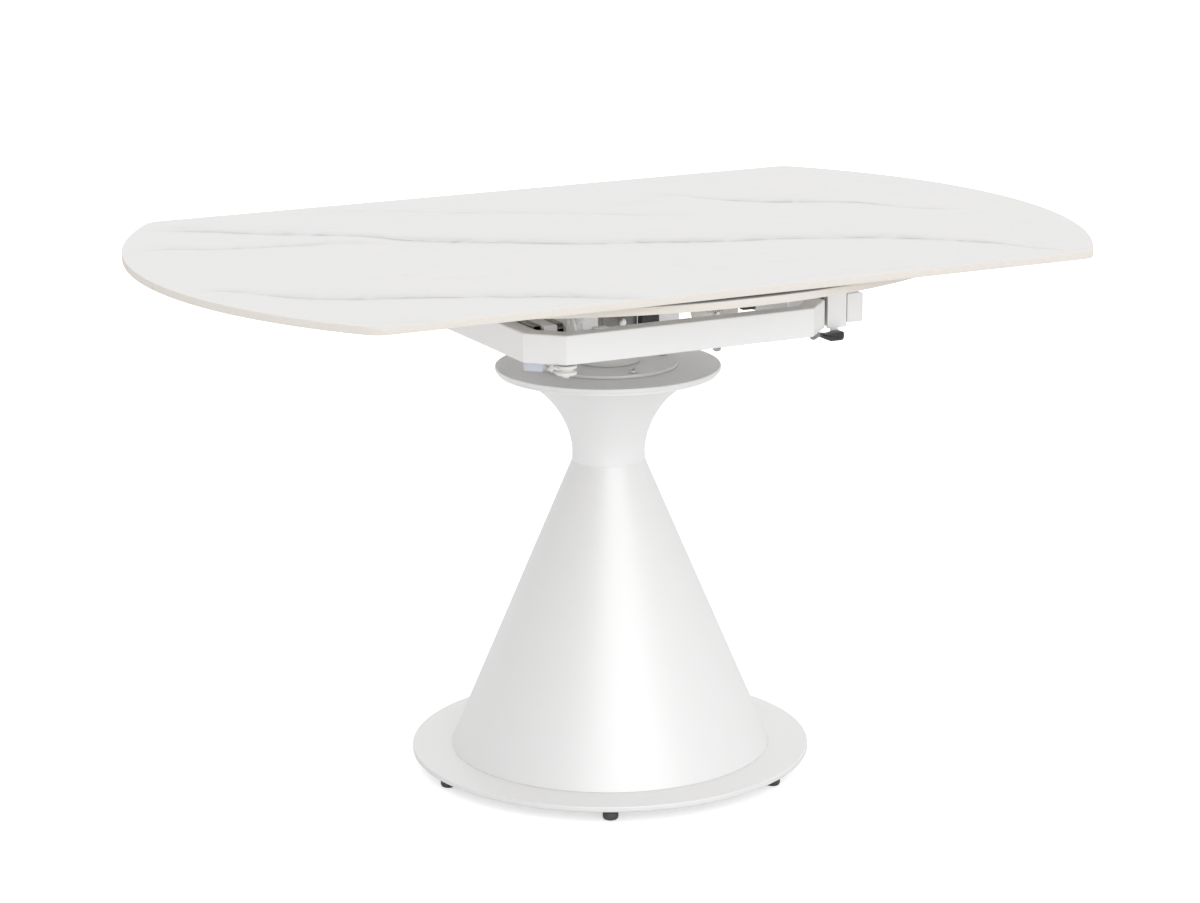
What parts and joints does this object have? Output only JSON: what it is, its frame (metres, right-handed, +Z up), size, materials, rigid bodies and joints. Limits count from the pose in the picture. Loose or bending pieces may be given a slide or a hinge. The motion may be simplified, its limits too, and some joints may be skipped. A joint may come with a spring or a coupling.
{
  "type": "extendable dining table",
  "caption": "Dining table with a barrel-shaped stone-look top on a spun white hourglass pedestal; leaves stored under the long sides slide out to widen it.",
  "frame": {"origin": "centre of the base on the floor, at the bottom of the levelling feet", "axes": "+Z up; X along the closed top's long direction; the front leaf pulls out towards -Y and the back leaf towards +Y"},
  "size_m": [1.35, 0.84, 0.768],
  "materials": {
    "table_stone": "matt sintered stone, white with thin grey veins",
    "white_powder_coat": "fine matt white powder coat on steel",
    "zinc_plated_steel": "bright zinc plating",
    "chromed_fasteners": "polished",
    "foot_plastic": "black moulded plastic",
    "lever_plastic": "black moulded plastic",
    "nylon": "natural white nylon",
    "clear_plastic": "bluish see-through plastic"
  },
  "bodies": {
    "pedestal_and_top": {"table_top": "table_stone", "front_top_bearer": "white_powder_coat", "back_top_bearer": "white_powder_coat", "front_crossbeam": "white_powder_coat", "back_crossbeam": "white_powder_coat", "left_rail_carrier": "white_powder_coat", "right_rail_carrier": "white_powder_coat", "front_end_plate": "white_powder_coat", "back_end_plate": "white_powder_coat", "front_lever_pin": "chromed_fasteners", "back_lever_pin": "chromed_fasteners", "head_plate": "white_powder_coat", "head_column": "white_powder_coat", "column_disc": "white_powder_coat", "disc_bolt_1": "chromed_fasteners", "disc_bolt_2": "chromed_fasteners", "disc_bolt_3": "chromed_fasteners", "disc_bolt_4": "chromed_fasteners", "pedestal_flange": "white_powder_coat", "pedestal_flare": "white_powder_coat", "pedestal_cone": "white_powder_coat", "base_plate": "white_powder_coat", "tie_rod": "zinc_plated_steel", "tie_nut": "zinc_plated_steel", "front_left_slide_channel": "zinc_plated_steel", "front_right_slide_channel": "zinc_plated_steel", "back_left_slide_channel": "zinc_plated_steel", "back_right_slide_channel": "zinc_plated_steel"},
    "front_extension": {"front_sliding_frame": "white_powder_coat", "front_leaf": "table_stone", "front_leaf_rail": "zinc_plated_steel", "front_left_lift_arm": "white_powder_coat", "front_right_lift_arm": "white_powder_coat", "front_left_slide_member": "zinc_plated_steel", "front_right_slide_member": "zinc_plated_steel", "front_pulley_bolt": "chromed_fasteners", "front_stop_block": "clear_plastic"},
    "front_ball_cages": {"front_left_ball_cage": "zinc_plated_steel", "front_right_ball_cage": "zinc_plated_steel"},
    "front_pulley": {"front_guide_pulley": "nylon"},
    "front_lever": {"front_release_lever": "lever_plastic"},
    "back_extension": {"back_sliding_frame": "white_powder_coat", "back_leaf": "table_stone", "back_leaf_rail": "zinc_plated_steel", "back_left_lift_arm": "white_powder_coat", "back_right_lift_arm": "white_powder_coat", "back_left_slide_member": "zinc_plated_steel", "back_right_slide_member": "zinc_plated_steel", "back_pulley_bolt": "chromed_fasteners", "back_stop_block": "clear_plastic"},
    "back_ball_cages": {"back_left_ball_cage": "zinc_plated_steel", "back_right_ball_cage": "zinc_plated_steel"},
    "back_pulley": {"back_guide_pulley": "nylon"},
    "back_lever": {"back_release_lever": "lever_plastic"},
    "levelling_foot_1": {"foot_1": "foot_plastic"},
    "levelling_foot_2": {"foot_2": "foot_plastic"},
    "levelling_foot_3": {"foot_3": "foot_plastic"},
    "levelling_foot_4": {"foot_4": "foot_plastic"},
    "levelling_foot_5": {"foot_5": "foot_plastic"},
    "levelling_foot_6": {"foot_6": "foot_plastic"}
  },
  "joints": [
    {"name": "front_leaf_slide", "type": "slide", "parent": "pedestal_and_top", "child": "front_extension", "axis": [0, -1, 0], "range_m": [0, 0.255]},
    {"name": "front_cage_slide", "type": "slide", "parent": "pedestal_and_top", "child": "front_ball_cages", "axis": [0, -1, 0], "range_m": [0, 0.1275]},
    {"name": "front_lever_hinge", "type": "hinge", "parent": "pedestal_and_top", "child": "front_lever", "pos_m": [0.2167, -0.2677, 0.6537], "axis": [0, -1, 0], "range_deg": [0, 20], "stiffness_Nm_per_rad": 0.05, "springref_deg": -5.73},
    {"name": "front_pulley_spin", "type": "hinge", "parent": "front_extension", "child": "front_pulley", "pos_m": [-0.216, -0.3035, 0.653], "axis": [0, 0, 1], "continuous": true},
    {"name": "back_leaf_slide", "type": "slide", "parent": "pedestal_and_top", "child": "back_extension", "axis": [0, 1, 0], "range_m": [0, 0.255]},
    {"name": "back_cage_slide", "type": "slide", "parent": "pedestal_and_top", "child": "back_ball_cages", "axis": [0, 1, 0], "range_m": [0, 0.1275]},
    {"name": "back_lever_hinge", "type": "hinge", "parent": "pedestal_and_top", "child": "back_lever", "pos_m": [-0.2167, 0.2677, 0.6537], "axis": [0, 1, 0], "range_deg": [0, 20], "stiffness_Nm_per_rad": 0.05, "springref_deg": -5.73},
    {"name": "back_pulley_spin", "type": "hinge", "parent": "back_extension", "child": "back_pulley", "pos_m": [0.216, 0.3035, 0.653], "axis": [0, 0, 1], "continuous": true},
    {"name": "foot_1_height", "type": "slide", "parent": "pedestal_and_top", "child": "levelling_foot_1", "axis": [0, 0, 1], "range_m": [0, 0.005]},
    {"name": "foot_2_height", "type": "slide", "parent": "pedestal_and_top", "child": "levelling_foot_2", "axis": [0, 0, 1], "range_m": [0, 0.005]},
    {"name": "foot_3_height", "type": "slide", "parent": "pedestal_and_top", "child": "levelling_foot_3", "axis": [0, 0, 1], "range_m": [0, 0.005]},
    {"name": "foot_4_height", "type": "slide", "parent": "pedestal_and_top", "child": "levelling_foot_4", "axis": [0, 0, 1], "range_m": [0, 0.005]},
    {"name": "foot_5_height", "type": "slide", "parent": "pedestal_and_top", "child": "levelling_foot_5", "axis": [0, 0, 1], "range_m": [0, 0.005]},
    {"name": "foot_6_height", "type": "slide", "parent": "pedestal_and_top", "child": "levelling_foot_6", "axis": [0, 0, 1], "range_m": [0, 0.005]}
  ],
  "couplings": [
    {"joint": "front_cage_slide", "follows": "front_leaf_slide", "ratio": 0.5},
    {"joint": "back_cage_slide", "follows": "back_leaf_slide", "ratio": 0.5}
  ]
}
